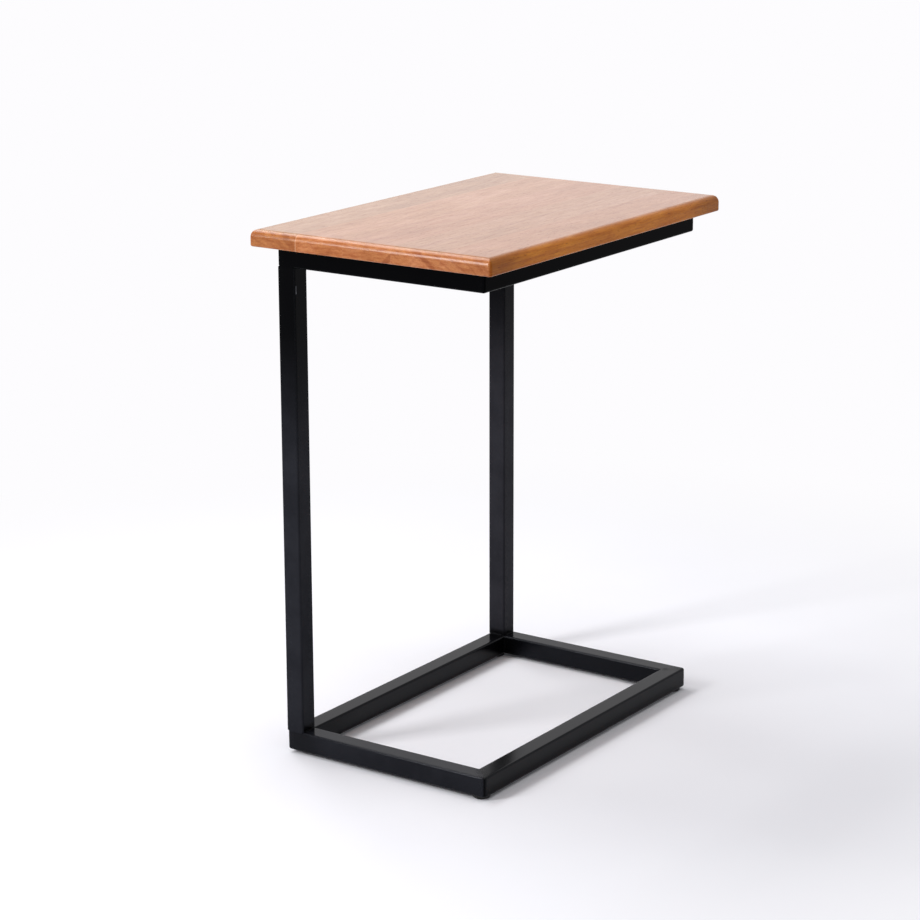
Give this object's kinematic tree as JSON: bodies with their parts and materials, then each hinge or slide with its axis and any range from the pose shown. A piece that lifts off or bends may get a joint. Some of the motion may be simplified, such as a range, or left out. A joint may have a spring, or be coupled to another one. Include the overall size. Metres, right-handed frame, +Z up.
{
  "type": "c shaped side table",
  "caption": "Side table with a C shaped square tube frame, open at the front, under a rectangular solid wood top with rounded edges.",
  "frame": {"origin": "on the floor below the middle of the wooden top", "axes": "+Z up, +X towards the open front of the C (the uprights are at -X), +Y along the long side of the top"},
  "size_m": [0.3, 0.455, 0.576],
  "materials": {
    "stave_1": "satin",
    "stave_2": "satin",
    "stave_3": "satin",
    "stave_4": "satin",
    "stave_5": "satin",
    "top_rail_front": "satin",
    "top_rail_rear": "satin",
    "top_rail_left": "satin",
    "top_rail_right": "satin",
    "base_rail_front": "satin",
    "base_rail_rear": "satin",
    "base_rail_left": "satin",
    "base_rail_right": "satin",
    "upright_left": "satin",
    "upright_right": "satin",
    "weld": "satin",
    "glide": "matte",
    "screw": "zinc plated"
  },
  "bodies": {
    "root": {"top_stave_1": "stave_1", "top_stave_2": "stave_2", "top_stave_3": "stave_3", "top_stave_4": "stave_4", "top_stave_5": "stave_5", "top_rail_front": "top_rail_front", "top_rail_rear": "top_rail_rear", "top_rail_left": "top_rail_left", "top_rail_right": "top_rail_right", "base_rail_front": "base_rail_front", "base_rail_rear": "base_rail_rear", "base_rail_left": "base_rail_left", "base_rail_right": "base_rail_right", "upright_left": "upright_left", "upright_right": "upright_right", "glide_front_left": "glide", "glide_front_right": "glide", "glide_rear_left": "glide", "glide_rear_right": "glide", "top_screws": "screw", "upright_weld_beads": "weld", "upright_flush_welds": "weld", "mitre_weld_beads": "weld"}
  },
  "joints": []
}
